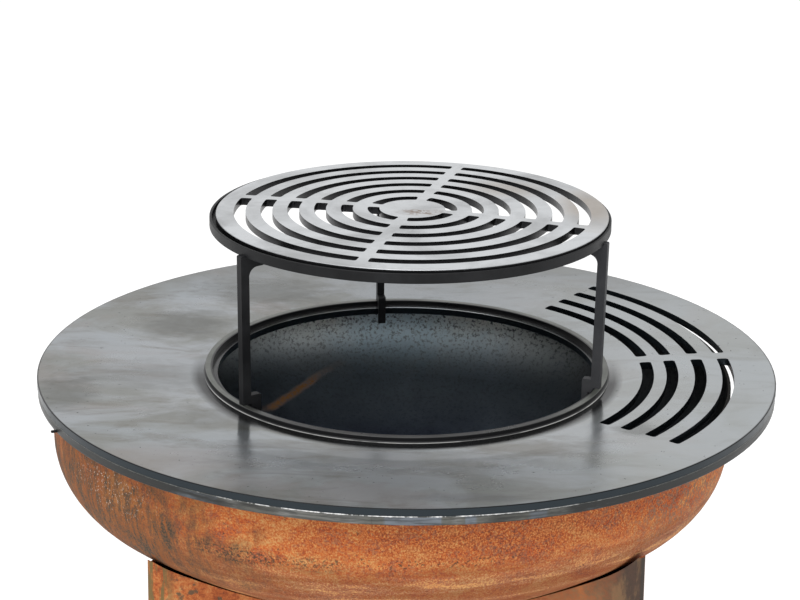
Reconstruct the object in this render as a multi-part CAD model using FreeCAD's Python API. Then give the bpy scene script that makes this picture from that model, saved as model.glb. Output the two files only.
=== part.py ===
import FreeCAD, Part
import math
import os

# Round fire-bowl grill on a square pedestal, in millimetres.
# The origin is on the ground under the middle of the cooking plate, +Z is up and the front faces -Y.

# overall sizes
plate_top_z = 950.0
plate_radius = 500.0
plate_thickness = 10.0
plate_edge_break = 0.8
opening_radius = 256.5
plate_sag = 4.4             # the plate dips this far towards its opening, so fat runs to the fire
sag_margin = 5.2            # flat seat of the collar, past its bead of weld
sag_width = 119.0

# slots through the cooking plate, two groups on the +X side
slot_mid_radii = (328.0, 361.0, 399.0, 436.0)
slot_width = 16.0
slot_corner = 4.0
slot_web = 23.0
slot_web_angle = 7.5
slot_rear_angle = 52.0
slot_front_angle = -38.5

# collar standing on the plate around the opening
collar_ledge = 7.3          # the plate shows this far inside the collar
collar_width = 10.0
collar_height = 7.5
collar_bead = 2.0
collar_edge_break = 0.6

# skirt under the plate's rim, one bar bent to a ring with a joint near the front
skirt_inset = 0.8           # from the plate's rim to the skirt's outside
skirt_thickness = 19.2
skirt_height = 12.0
skirt_edge_break = 0.7
skirt_joint_angle = -94.6
joint_groove_width = 1.2
joint_groove_depth = 0.8
skirt_tab_angle = 204.6
tab_length = 7.0
tab_width = 5.0
tab_thickness = 2.0
tab_rise = 0.8              # above the skirt's lower edge
tab_corner = 1.5

# dished bowl, off the plate's middle because the loose plate has slid until its skirt meets the rim
bowl_play = 20.4            # from the bowl's rim to the skirt when both are centred
bowl_touch = 0.6            # what is left of it where they meet
bowl_wall = 4.0
bowl_knuckle = 104.0
bowl_crown = 717.0
bowl_flange = 72.2

# stand over the opening: hoop and three legs
stand_shift = 2.6
stand_lean = 1.2            # degrees the hoop and grate slope down towards the back
hoop_radius = 268.8
hoop_thickness = 3.5
hoop_height = 13.3
hoop_edge_break = 0.5
ledge_width = 10.0          # flat ring inside the hoop, just under the grate's rim
ledge_thickness = 3.0
ledge_clearance = 0.3
hoop_bottom = 202.4         # above the plate, on the stand's middle axis
leg_names = ("right", "rear", "left")
leg_angles = (-18.0, 99.1, 217.0)
leg_foot_insets = (4.4, 2.0, 0.4)   # from the collar's outside to the leg's outside
leg_top_reaches = (5.0, 6.9, 7.2)   # from the hoop's outside to the leg's outside
leg_thickness = 10.0
leg_width = 12.4
leg_upstand = 2.5
leg_arm_reach = 31.3        # from the hoop's inside towards the middle
leg_arm_depth = 14.5
leg_arm_nose = 8.0
leg_fillet = 12.5
leg_corner = 2.0
toe_width = 8.3
toe_top = 15.0
toe_bottom = -25.0
toe_clearance = 3.2
toe_lift = 0.6              # over the plate's ledge inside the collar
toe_corner = 2.5

# grate lying in the hoop, its middle bowed up by the heat
grate_play = 2.7            # from the grate to the hoop when both are centred
grate_touch = 0.3           # what is left of it where the grate lies against the hoop
grate_thickness = 10.0
grate_above_hoop = 3.3
grate_rise = 5.0
grate_edge_break = 0.6
grate_first_ring = 52.0
grate_rim = 31.6            # from the last ring of slots to the grate's edge
grate_rings = 6
grate_slot = 16.0
grate_bar = 15.0
grate_turn = 74.5
grate_corner = 3.4

# pedestal of folded sheet
base_width = 637.0
base_corner_drop = 147.0    # middle of the panels' corners below the plate's top
base_corner_rise = 14.2     # the right-hand corners are this much higher than the left-hand ones
base_offset = 9.8           # the bowl has slid this far towards -X on the pedestal
base_sheet = 4.0
base_fold = 24.0
base_fold_radius = 8.0
panel_gap = 0.8
saddle_touch = 0.3
saddle_open = 8.0
saddle_growth = 2.5         # the gap grows with this power of the way to the corner
strap_width = 60.0
strap_thickness = 4.0
strap_margin = 90.0         # from its top to the pedestal's corners
strap_foot_gap = 16.0       # from the floor to its lower end
strap_clearance = 0.5
floor_drop = 30.0           # from the floor's underside down to the panels' lower edges
floor_clearance = 0.2
drain_radius = 20.0
foot_radius = 30.0
foot_height = 12.0
foot_inset = 60.0
foot_edge_break = 2.0
foot_shoulder = 3.0
stem_radius = 9.0

# sizes that follow from the ones above
collar_inner = opening_radius + collar_ledge
collar_outer = collar_inner + collar_width
sag_flat_radius = collar_outer + collar_bead + sag_margin
sag_outer_radius = sag_flat_radius + sag_width
skirt_radius = plate_radius - skirt_inset
bowl_radius = skirt_radius - skirt_thickness - bowl_play
bowl_shift = bowl_touch - bowl_play
base_shift = bowl_shift + base_offset
hoop_inner = hoop_radius - hoop_thickness
grate_radius = hoop_inner - grate_play
grate_drift = grate_play - grate_touch      # the grate lies against the +X side of the hoop
grate_ring_step = (grate_radius - grate_rim - grate_first_ring) / (grate_rings - 1)


def vec(x, y, z=0.0):
    return FreeCAD.Vector(x, y, z)


def face_of(points):
    """Flat face through points given in order."""
    return Part.Face(Part.makePolygon(list(points) + [points[0]]))


def revolved(profile):
    """Full turn of (radius, z) points about the vertical axis."""
    points = [vec(r, 0, z) for r, z in profile]
    return face_of(points).revolve(vec(0, 0, 0), vec(0, 0, 1), 360)


def ring(outer, inner, bottom, top, edge_break):
    """Flat ring with its four rims broken by a small chamfer."""
    c = edge_break
    profile = [
        (inner + c, bottom), (outer - c, bottom), (outer, bottom + c), (outer, top - c),
        (outer - c, top), (inner + c, top), (inner, top - c), (inner, bottom + c),
    ]
    return revolved(profile)


def arc_slot(mid_radius, width, start_angle, end_angle, corner, bottom, top):
    """Slot along an arc about the origin, with its four corners rounded."""
    inner = mid_radius - width / 2.0
    outer = mid_radius + width / 2.0
    middle = (start_angle + end_angle) / 2.0

    def at(radius, angle):
        turn = math.radians(angle)
        return vec(radius * math.cos(turn), radius * math.sin(turn), bottom)

    edges = [
        Part.Arc(at(outer, start_angle), at(outer, middle), at(outer, end_angle)).toShape(),
        Part.makeLine(at(outer, end_angle), at(inner, end_angle)),
        Part.Arc(at(inner, end_angle), at(inner, middle), at(inner, start_angle)).toShape(),
        Part.makeLine(at(inner, start_angle), at(outer, start_angle)),
    ]
    body = Part.Face(Part.Wire(edges)).extrude(vec(0, 0, top - bottom))
    upright = [e for e in body.Edges if e.BoundBox.ZLength > 0.9 * (top - bottom)]
    return body.makeFillet(corner, upright)


def bowl_profile(offset):
    """Outside of the bowl pushed out by offset, from the rim down to the middle."""
    samples = 24
    side = bowl_radius - bowl_knuckle
    turn_z = plate_top_z - plate_thickness - bowl_flange
    lean = math.asin(side / (bowl_crown - bowl_knuckle))
    crown_z = turn_z + (bowl_crown - bowl_knuckle) * math.cos(lean)
    points = []
    for i in range(samples + 1):
        angle = (math.pi / 2.0 - lean) * i / samples
        reach = bowl_knuckle + offset
        points.append((side + reach * math.cos(angle), turn_z - reach * math.sin(angle)))
    for i in range(1, samples + 1):
        angle = lean * (1.0 - i / float(samples))
        reach = bowl_crown + offset
        points.append((reach * math.sin(angle), crown_z - reach * math.cos(angle)))
    return points


def dished_solid(points, top_z):
    """Solid under a dished line given from the rim to the middle, closed flat at top_z."""
    join = len(points) // 2
    first = [vec(r, 0, z) for r, z in points[:join + 1]]
    second = [vec(r, 0, z) for r, z in points[join:]]
    knuckle = Part.Arc(first[0], first[len(first) // 2], first[-1]).toShape()
    crown = Part.Arc(second[0], second[len(second) // 2], second[-1]).toShape()
    rim = vec(points[0][0], 0, top_z)
    axis_top = vec(0, 0, top_z)
    edges = [
        Part.makeLine(axis_top, rim),
        Part.makeLine(rim, first[0]),
        knuckle,
        crown,
        Part.makeLine(second[-1], axis_top),
    ]
    return Part.Face(Part.Wire(edges)).revolve(vec(0, 0, 0), vec(0, 0, 1), 360)


def make_bowl():
    """Dished end: straight flange, knuckle and crown, open at the top."""
    rim_z = plate_top_z - plate_thickness
    outside = dished_solid(bowl_profile(0.0), rim_z)
    inside = dished_solid(bowl_profile(-bowl_wall), rim_z + bowl_wall)
    bowl = outside.cut(inside)
    bowl.translate(vec(bowl_shift, 0, 0))
    return bowl


def dip_at(radius):
    """How far the plate lies below its outer part at this radius."""
    share = (sag_outer_radius - radius) / (sag_outer_radius - sag_flat_radius)
    return plate_sag * min(max(share, 0.0), 1.0) ** 2


def plate_blank():
    """Round plate with its opening, dipping a little towards the opening in four steps."""
    c = plate_edge_break
    top = plate_top_z
    bottom = plate_top_z - plate_thickness
    steps = 4
    radii = [
        sag_outer_radius + (sag_flat_radius - sag_outer_radius) * i / float(steps)
        for i in range(steps + 1)
    ]
    upper = [(r, top - dip_at(r)) for r in radii]
    lower = [(r, bottom - dip_at(r)) for r in radii]
    opening = [
        (opening_radius + c, top - plate_sag), (opening_radius, top - plate_sag - c),
        (opening_radius, bottom - plate_sag + c), (opening_radius + c, bottom - plate_sag),
    ]
    rim = [
        (plate_radius - c, bottom), (plate_radius, bottom + c), (plate_radius, top - c),
        (plate_radius - c, top),
    ]
    return revolved(rim + upper + opening + lower[::-1])


def make_cooking_plate():
    """Thick round plate with the round opening and the eight arc slots."""
    top = plate_top_z
    bottom = top - plate_thickness - plate_sag
    cutters = []
    for radius in slot_mid_radii:
        half_web = math.degrees(slot_web / 2.0 / radius)
        spans = [
            (slot_web_angle + half_web, slot_rear_angle),
            (slot_front_angle, slot_web_angle - half_web),
        ]
        for start, end in spans:
            cutters.append(
                arc_slot(radius, slot_width, start, end, slot_corner, bottom - 1.0, top + 1.0)
            )
    return plate_blank().cut(Part.makeCompound(cutters))


def make_collar():
    """Low ring standing on the plate, with a bead of weld at its outer foot."""
    foot = plate_top_z - plate_sag
    top = foot + collar_height
    outer = collar_outer
    c = collar_edge_break
    profile = [
        (collar_inner, foot), (outer + collar_bead, foot),
        (outer + collar_bead * 0.35, foot + collar_bead * 0.35),
        (outer, foot + collar_bead), (outer, top - c), (outer - c, top),
        (collar_inner + c, top), (collar_inner, top - c),
    ]
    return revolved(profile)


def make_skirt():
    """Bar bent to a ring under the plate's rim, grooved where its two ends are joined."""
    top = plate_top_z - plate_thickness
    bottom = top - skirt_height
    skirt = ring(skirt_radius, skirt_radius - skirt_thickness, bottom, top, skirt_edge_break)
    groove = Part.makeBox(
        skirt_thickness, joint_groove_width, skirt_height + 2.0,
        vec(skirt_radius - joint_groove_depth, -joint_groove_width / 2.0, bottom - 1.0),
    )
    groove.rotate(vec(0, 0, 0), vec(0, 0, 1), skirt_joint_angle)
    return skirt.cut(groove)


def make_skirt_tab():
    """Small tab on the outside of the skirt, seen past the bowl at the left."""
    bottom = plate_top_z - plate_thickness - skirt_height + tab_rise
    root = skirt_radius - tab_corner
    tab = Part.makeBox(
        tab_length + tab_corner, tab_width, tab_thickness, vec(root, -tab_width / 2.0, bottom)
    )
    upright = [
        e for e in tab.Edges
        if e.BoundBox.ZLength > 0.9 * tab_thickness and e.BoundBox.XMin > skirt_radius
    ]
    tab = tab.makeFillet(tab_corner, upright)
    tab = tab.cut(Part.makeCylinder(skirt_radius, 3.0 * tab_thickness, vec(0, 0, bottom - tab_thickness)))
    tab.rotate(vec(0, 0, 0), vec(0, 0, 1), skirt_tab_angle)
    return tab


def lean_and_place(shape):
    """Slope a piece whose zero is the hoop's underside, and set it over the opening."""
    shape.rotate(vec(0, 0, 0), vec(1, 0, 0), -stand_lean)
    shape.translate(vec(stand_shift, 0, plate_top_z + hoop_bottom))
    return shape


def grate_underside():
    """Level of the grate's edge below, above the hoop's underside."""
    return hoop_height + grate_above_hoop - grate_thickness


def ledge_top():
    """Level of the hoop's ledge above the hoop's underside."""
    return grate_underside() - ledge_clearance


def make_hoop():
    """Flat bar bent to a hoop on edge, with a flat ledge inside it under the grate's rim."""
    c = hoop_edge_break
    high = ledge_top()
    low = high - ledge_thickness
    profile = [
        (hoop_inner + c, 0.0), (hoop_radius - c, 0.0), (hoop_radius, c),
        (hoop_radius, hoop_height - c), (hoop_radius - c, hoop_height),
        (hoop_inner + c, hoop_height), (hoop_inner, hoop_height - c), (hoop_inner, high),
        (hoop_inner - ledge_width, high), (hoop_inner - ledge_width, low), (hoop_inner, low),
        (hoop_inner, c),
    ]
    return lean_and_place(revolved(profile))


def make_grate():
    """Round plate bowed up in the middle, with rings of arc slots between two crossing bars."""
    low = grate_underside()
    high = low + grate_thickness
    c = grate_edge_break
    edge = grate_radius - c
    radii = [grate_first_ring + i * grate_ring_step for i in range(grate_rings)] + [edge]

    def bowed(level):
        """Points of the bowed plate, straight between the middles of the slot rings."""
        points = [(r, level + grate_rise * (1.0 - (r / edge) ** 2)) for r in radii]
        return [(0.0, points[0][1])] + points

    rim = [(grate_radius, low + c), (grate_radius, high - c)]
    grate = revolved(bowed(low) + rim + bowed(high)[::-1])
    grate.rotate(vec(0, 0, 0), vec(0, 0, 1), grate_turn)
    cutters = []
    for index in range(grate_rings):
        radius = grate_first_ring + index * grate_ring_step
        half_bar = math.degrees(grate_bar / 2.0 / radius)
        for quarter in range(4):
            start = grate_turn + 90.0 * quarter + half_bar
            end = grate_turn + 90.0 * (quarter + 1) - half_bar
            cutters.append(
                arc_slot(
                    radius, grate_slot, start, end, grate_corner,
                    low - 1.0, high + grate_rise + 1.0,
                )
            )
    grate = grate.cut(Part.makeCompound(cutters))
    grate.translate(vec(grate_drift, 0, 0))
    return lean_and_place(grate)


def seat_cutter():
    """Room taken by the hoop, its ledge and the grate inside it, carried past their tops."""
    high = 2.0 * (hoop_height + grate_thickness)
    inner = hoop_inner - ledge_width - ledge_clearance
    seat = grate_underside()
    under_ledge = ledge_top() - ledge_thickness
    profile = [
        (0.0, seat), (inner, seat), (inner, under_ledge), (hoop_inner, under_ledge),
        (hoop_inner, 0.0), (hoop_radius, 0.0), (hoop_radius, high), (0.0, high),
    ]
    return lean_and_place(revolved(profile))


def make_leg(angle, foot_outer, top_outer, seat):
    """Radial leg cut from plate: toe, foot, post, arm under the hoop and low upstand."""
    foot_z = collar_height - plate_sag
    local_bottom = hoop_bottom - math.sin(math.radians(stand_lean)) * hoop_radius * math.sin(
        math.radians(angle)
    )
    top_z = local_bottom + leg_upstand
    blank_top = top_z + hoop_height
    arm_tip = hoop_inner - leg_arm_reach
    arm_under = local_bottom - leg_arm_depth
    slope = (top_outer - foot_outer) / (top_z - foot_z)

    def inner_at(height):
        return foot_outer + slope * (height - foot_z) - leg_width

    toe_outer = collar_inner - toe_clearance
    toe_lower_outer = opening_radius - toe_clearance
    toe_inner = toe_lower_outer - toe_width
    step_z = toe_lift - plate_sag
    points = [
        vec(foot_outer, 0, foot_z),
        vec(top_outer, 0, top_z),
        vec(top_outer, 0, blank_top),
        vec(arm_tip, 0, blank_top),
        vec(arm_tip, 0, arm_under + leg_arm_nose / 2.0),
        vec(arm_tip + leg_arm_nose, 0, arm_under),
        vec(inner_at(arm_under), 0, arm_under),
        vec(inner_at(toe_top), 0, toe_top),
        vec(toe_inner, 0, toe_top),
        vec(toe_inner, 0, toe_bottom),
        vec(toe_lower_outer, 0, toe_bottom),
        vec(toe_lower_outer, 0, step_z),
        vec(toe_outer, 0, step_z),
        vec(toe_outer, 0, foot_z),
    ]
    blank = face_of(points).extrude(vec(0, leg_thickness, 0))
    blank.translate(vec(0, -leg_thickness / 2.0, 0))

    def across(radius, height):
        """Edge of the blank that runs across it at this point of the outline."""
        place = vec(radius, 0, height)
        level = [e for e in blank.Edges if e.BoundBox.YLength > 0.9 * leg_thickness]
        return min(level, key=lambda e: e.CenterOfMass.distanceToPoint(place))

    blank = blank.makeFillet(leg_fillet, [across(inner_at(arm_under), arm_under)])
    toe_ends = [across(toe_inner, toe_top), across(toe_inner, toe_bottom)]
    blank = blank.makeFillet(toe_corner, toe_ends)
    over = Part.makeBox(
        top_outer, leg_thickness + 2.0, blank_top,
        vec(hoop_inner, -leg_thickness / 2.0 - 1.0, top_z),
    )
    blank = blank.cut(over)
    blank = blank.makeFillet(leg_corner, [across(top_outer, top_z)])
    blank.rotate(vec(0, 0, 0), vec(0, 0, 1), angle)
    blank.translate(vec(stand_shift, 0, plate_top_z))
    leg = blank.cut(seat)
    solids = sorted(leg.Solids, key=lambda s: s.Volume)
    return solids[-1]


def saddle_cutter():
    """The bowl's outside, standing off more and more towards the pedestal's corners."""
    near = base_width / 2.0
    far = base_width / 2.0 * math.sqrt(2.0)
    rim_z = plate_top_z - plate_thickness
    plain = bowl_profile(0.0)
    spread = []
    for (r, z), (r_up, z_up) in zip(plain, bowl_profile(1.0)):
        share = min(max((r - near) / (far - near), 0.0), 1.0)
        gap = saddle_touch + (saddle_open - saddle_touch) * share ** saddle_growth
        spread.append(vec(r + (r_up - r) * gap, 0, z + (z_up - z) * gap))
    curve = Part.BSplineCurve()
    curve.interpolate(spread)
    rim = vec(spread[0].x, 0, rim_z)
    axis_top = vec(0, 0, rim_z)
    edges = [
        Part.makeLine(axis_top, rim),
        Part.makeLine(rim, spread[0]),
        curve.toShape(),
        Part.makeLine(spread[-1], axis_top),
    ]
    return Part.Face(Part.Wire(edges)).revolve(vec(0, 0, 0), vec(0, 0, 1), 360)


def corner_level(x):
    """Level of the panels' corners, rising evenly from the left to the right."""
    return plate_top_z - base_corner_drop + base_corner_rise * x / base_width


def above_corners():
    """Everything over the sloping line that ends the panels' corners."""
    reach = base_width
    points = [
        vec(-reach, -reach, corner_level(-reach)), vec(reach, -reach, corner_level(reach)),
        vec(reach, -reach, plate_top_z), vec(-reach, -reach, plate_top_z),
    ]
    return face_of(points).extrude(vec(0, 2.0 * reach, 0))


def folded_panel(top_z):
    """Front panel: flat sheet with both upright edges folded back, before the saddle cut."""
    half = base_width / 2.0
    box = Part.makeBox(base_width, base_fold, top_z - foot_height, vec(-half, -half, foot_height))
    corners = [
        e for e in box.Edges
        if e.BoundBox.ZLength > foot_height and e.BoundBox.YMax < -half + 0.1
    ]
    box = box.makeFillet(base_fold_radius, corners)
    room = Part.makeBox(
        base_width - 2.0 * base_sheet, base_fold, top_z,
        vec(-half + base_sheet, -half + base_sheet, foot_height - 1.0),
    )
    room_corners = [
        e for e in room.Edges
        if e.BoundBox.ZLength > foot_height and e.BoundBox.YMax < -half + base_sheet + 0.1
    ]
    room = room.makeFillet(base_fold_radius - base_sheet, room_corners)
    return box.cut(room)


def side_panel(top_z):
    """Flat sheet on the -X side between the folds of the front and rear panels."""
    half = base_width / 2.0
    reach = base_width - 2.0 * base_fold - 2.0 * panel_gap
    return Part.makeBox(
        base_sheet, reach, top_z - foot_height, vec(-half, -reach / 2.0, foot_height)
    )


def corner_strap(side_x, side_y, top_z):
    """Flat bar behind the seam of a side panel, from near the floor to below the saddle."""
    half = base_width / 2.0
    low = foot_height + floor_drop + base_sheet + strap_foot_gap
    high = top_z - strap_margin
    bar = Part.makeBox(
        strap_thickness, strap_width, high - low,
        vec(-half + base_sheet, -half + base_fold_radius + strap_clearance, low),
    )
    if side_x > 0:
        bar = bar.mirror(vec(0, 0, 0), vec(1, 0, 0))
    if side_y > 0:
        bar = bar.mirror(vec(0, 0, 0), vec(0, 1, 0))
    return bar


def base_floor():
    """Sheet floor of the pedestal with a round drain in the middle."""
    half = base_width / 2.0 - base_sheet - floor_clearance
    low = foot_height + floor_drop
    sheet = Part.makeBox(2.0 * half, 2.0 * half, base_sheet, vec(-half, -half, low))
    upright = [e for e in sheet.Edges if e.BoundBox.ZLength > 0.9 * base_sheet]
    sheet = sheet.makeFillet(base_fold_radius, upright)
    drain = Part.makeCylinder(drain_radius, base_sheet + 2.0, vec(0, 0, low - 1.0))
    return sheet.cut(drain)


def make_foot(side_x, side_y):
    """Round pad with a stem that carries the floor near a corner."""
    floor_z = foot_height + floor_drop
    shoulder = foot_shoulder
    profile = [
        (0.0, 0.0), (foot_radius - foot_edge_break, 0.0), (foot_radius, foot_edge_break),
        (foot_radius, foot_height - shoulder), (foot_radius - shoulder, foot_height),
        (stem_radius + shoulder, foot_height), (stem_radius, foot_height + shoulder),
        (stem_radius, floor_z), (0.0, floor_z),
    ]
    pad = revolved(profile)
    reach = base_width / 2.0 - foot_inset
    pad.translate(vec(side_x * reach + base_shift, side_y * reach, 0))
    return pad


def make_base():
    """Pedestal parts by name, shifted under the bowl and cut to its shape."""
    top_z = corner_level(base_width / 2.0)
    strap_z = corner_level(-base_width / 2.0)
    above = above_corners()
    saddle = saddle_cutter()
    saddle.translate(vec(bowl_shift - base_shift, 0, 0))
    parts = {}
    front = folded_panel(top_z)
    rear = front.mirror(vec(0, 0, 0), vec(0, 1, 0))
    left = side_panel(top_z)
    right = left.mirror(vec(0, 0, 0), vec(1, 0, 0))
    for name, panel in (("front", front), ("rear", rear), ("left", left), ("right", right)):
        panel = panel.cut(above).cut(saddle)
        panel.translate(vec(base_shift, 0, 0))
        parts["base_panel_" + name] = panel
    for x_name, side_x in (("left", -1), ("right", 1)):
        for y_name, side_y in (("front", -1), ("rear", 1)):
            bar = corner_strap(side_x, side_y, strap_z)
            bar.translate(vec(base_shift, 0, 0))
            parts["base_strap_%s_%s" % (y_name, x_name)] = bar
            parts["base_foot_%s_%s" % (y_name, x_name)] = make_foot(side_x, side_y)
    floor = base_floor()
    floor.translate(vec(base_shift, 0, 0))
    parts["base_floor"] = floor
    return parts


def build():
    """All pieces by name."""
    parts = make_base()
    parts["bowl"] = make_bowl()
    parts["cooking_plate"] = make_cooking_plate()
    parts["plate_collar"] = make_collar()
    parts["plate_skirt"] = make_skirt()
    parts["skirt_tab"] = make_skirt_tab()
    parts["stand_hoop"] = make_hoop()
    seat = seat_cutter()
    for name, angle, inset, reach in zip(leg_names, leg_angles, leg_foot_insets, leg_top_reaches):
        parts["stand_leg_" + name] = make_leg(
            angle, collar_outer - inset, hoop_radius + reach, seat
        )
    parts["grate"] = make_grate()
    return parts


os.makedirs("parts", exist_ok=True)
for part_name, part_shape in build().items():
    part_shape.exportStep("parts/%s.step" % part_name)
    print(part_name, len(part_shape.Solids), round(part_shape.Volume / 1000.0, 1))
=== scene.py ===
import math

import bpy
import numpy as np
from mathutils import Matrix


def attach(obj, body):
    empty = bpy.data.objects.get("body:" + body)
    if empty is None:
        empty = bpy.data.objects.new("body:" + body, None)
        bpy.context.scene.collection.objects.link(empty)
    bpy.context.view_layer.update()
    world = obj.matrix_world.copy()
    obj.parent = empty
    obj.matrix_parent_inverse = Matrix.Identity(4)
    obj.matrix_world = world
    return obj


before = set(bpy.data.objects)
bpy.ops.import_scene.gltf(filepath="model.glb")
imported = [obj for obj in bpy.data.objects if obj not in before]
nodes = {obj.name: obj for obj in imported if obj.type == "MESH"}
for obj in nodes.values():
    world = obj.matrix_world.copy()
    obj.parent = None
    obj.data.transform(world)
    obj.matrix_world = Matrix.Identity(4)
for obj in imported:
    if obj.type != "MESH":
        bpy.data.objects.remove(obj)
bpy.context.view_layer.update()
print("frame loaded,", len(nodes), "nodes")


# small helpers for shader trees
# in the dictionaries below, a range is (from, to, result at from, result at to), a spot has its
# middle, reach and share, a pattern has the settings of a noise, and stops are (place, colour's name)

patchEdge = {"wander": 1.6, "outside": 1.95, "inside": 1.25}    # in reaches of the spot


def addNode(tree, kind, inputs=None, **settings):
    node = tree.nodes.new(kind)
    for name, value in settings.items():
        setattr(node, name, value)
    for name, value in (inputs or {}).items():
        if isinstance(value, bpy.types.NodeSocket):
            tree.links.new(value, node.inputs[name])
        else:
            node.inputs[name].default_value = value
    return node


def calc(tree, operation, first, second=0.0, third=0.0):
    node = addNode(tree, "ShaderNodeMath", {0: first, 1: second, 2: third}, operation=operation)
    return node.outputs[0]


def vectorCalc(tree, operation, first, second=(0, 0, 0), third=(0, 0, 0)):
    node = addNode(tree, "ShaderNodeVectorMath", {0: first, 1: second, 2: third}, operation=operation)
    return node.outputs["Value" if operation in ("DOT_PRODUCT", "LENGTH") else "Vector"]


def axes(tree, vector):
    return addNode(tree, "ShaderNodeSeparateXYZ", {"Vector": vector}).outputs


def spread(tree, value, low, high, toLow=0.0, toHigh=1.0):
    inputs = {"Value": value, "From Min": low, "From Max": high, "To Min": toLow, "To Max": toHigh}
    return addNode(tree, "ShaderNodeMapRange", inputs).outputs[0]


def mixed(tree, first, second, share):
    return calc(tree, "MULTIPLY_ADD", first, share, calc(tree, "MULTIPLY", second, 1.0 - share))


def shifted(tree, coords, place=(0, 0, 0), stretch=(1, 1, 1)):
    inputs = {"Vector": coords, "Location": place, "Scale": stretch}
    return addNode(tree, "ShaderNodeMapping", inputs).outputs["Vector"]


def noise(tree, coords, scale, detail, rough, twist=0.0):
    inputs = {"Vector": coords, "Scale": scale, "Detail": detail, "Roughness": rough, "Distortion": twist}
    return addNode(tree, "ShaderNodeTexNoise", inputs).outputs["Fac"]


def pattern(tree, coords, scale, detail, rough, twist=0.0, place=None, stretch=None):
    # noise in the object's own place, moved and stretched where its entry says so
    if place or stretch:
        coords = shifted(tree, coords, place or (0, 0, 0), stretch or (1, 1, 1))
    return noise(tree, coords, scale, detail, rough, twist)


def bandPattern(tree, coords, middle, around, level, detail, rough, twist=0.0):
    # noise on a turned surface, over the direction away from the upright axis and the height
    flat = shifted(tree, coords, (-middle[0], -middle[1], 0.0), (1.0, 1.0, 0.0))
    away = vectorCalc(tree, "NORMALIZE", flat)
    height = shifted(tree, coords, stretch=(0.0, 0.0, level))
    place = vectorCalc(tree, "MULTIPLY_ADD", away, (around, around, 0.0), height)
    return noise(tree, place, 1.0, detail, rough, twist)


def patch(tree, coords, spot, uneven):
    # soft spot whose border wanders with a noise
    stretch = tuple(1.0 / size for size in spot["reach"])
    place = tuple(-at * share for at, share in zip(spot["middle"], stretch))
    distance = vectorCalc(tree, "LENGTH", shifted(tree, coords, place, stretch))
    wandered = calc(tree, "MULTIPLY_ADD", uneven, patchEdge["wander"], distance)
    return spread(tree, wandered, patchEdge["outside"], patchEdge["inside"], 0.0, spot.get("share", 1.0))


def radiusFromAxis(tree, place):
    alongSquare = calc(tree, "MULTIPLY", place["Y"], place["Y"])
    return calc(tree, "SQRT", calc(tree, "MULTIPLY_ADD", place["X"], place["X"], alongSquare))


def ramp(tree, value, look, stops):
    node = addNode(tree, "ShaderNodeValToRGB", {"Fac": value})
    marks = node.color_ramp.elements
    while len(marks) < len(look[stops]):
        marks.new(1.0)
    for mark, (place, colourName) in zip(marks, look[stops]):
        mark.position = place
        mark.color = (*look[colourName], 1.0)
    return node.outputs["Color"]


def blend(tree, amount, first, second):
    node = addNode(tree, "ShaderNodeMix", data_type="RGBA")
    for socket, value in ((node.inputs[0], amount), (node.inputs[6], first), (node.inputs[7], second)):
        if isinstance(value, bpy.types.NodeSocket):
            tree.links.new(value, socket)
        elif isinstance(value, tuple):
            socket.default_value = (*value, 1.0)
        else:
            socket.default_value = value
    return node.outputs[2]


def startMaterial(name):
    material = bpy.data.materials.new(name)
    material.use_nodes = True
    tree = material.node_tree
    tree.nodes.clear()
    coords = addNode(tree, "ShaderNodeTexCoord")
    shader = addNode(tree, "ShaderNodeBsdfPrincipled")
    output = addNode(tree, "ShaderNodeOutputMaterial")
    tree.links.new(shader.outputs["BSDF"], output.inputs["Surface"])
    return material, shader, tree, coords.outputs


def finishShader(tree, shader, colour, roughness, height, bump):
    tree.links.new(colour, shader.inputs["Base Color"])
    tree.links.new(roughness, shader.inputs["Roughness"])
    inputs = {"Height": height, "Distance": bump["depth"], "Strength": bump["strength"]}
    bumpNode = addNode(tree, "ShaderNodeBump", inputs)
    tree.links.new(bumpNode.outputs["Normal"], shader.inputs["Normal"])


def wear(node, material):
    mesh = nodes[node].data
    mesh.materials.clear()
    mesh.materials.append(material)


# camera

cameraLook = {
    "place": (0.0, -3.8342, 2.3606),    # metres
    "pitch": 18.944,                    # degrees below level; turn and roll in degrees too
    "turn": -0.151,
    "roll": 0.694,
    "lens": 135.0,                      # millimetres
    "sensor": 36.0,                     # its width in millimetres
    "farthest": 100.0,
}


def makeCamera(look):
    pitch = math.radians(look["pitch"])
    turn = math.radians(look["turn"])
    roll = math.radians(look["roll"])
    ahead = np.array([math.sin(turn) * math.cos(pitch), math.cos(turn) * math.cos(pitch), -math.sin(pitch)])
    side = np.array([math.cos(turn), -math.sin(turn), 0.0])
    up = np.cross(side, ahead)
    data = bpy.data.cameras.new("photoCamera")
    data.lens = look["lens"]
    data.sensor_width = look["sensor"]
    data.clip_end = look["farthest"]
    camera = bpy.data.objects.new("photoCamera", data)
    bpy.context.scene.collection.objects.link(camera)
    columns = np.eye(4)
    columns[:3, 0] = side * math.cos(roll) + up * math.sin(roll)
    columns[:3, 1] = up * math.cos(roll) - side * math.sin(roll)
    columns[:3, 2] = -ahead
    columns[:3, 3] = look["place"]
    camera.matrix_world = Matrix(columns.tolist())
    bpy.context.scene.camera = camera


makeCamera(cameraLook)
print("camera placed")


# rusted steel of the bowl, places in metres

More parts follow.
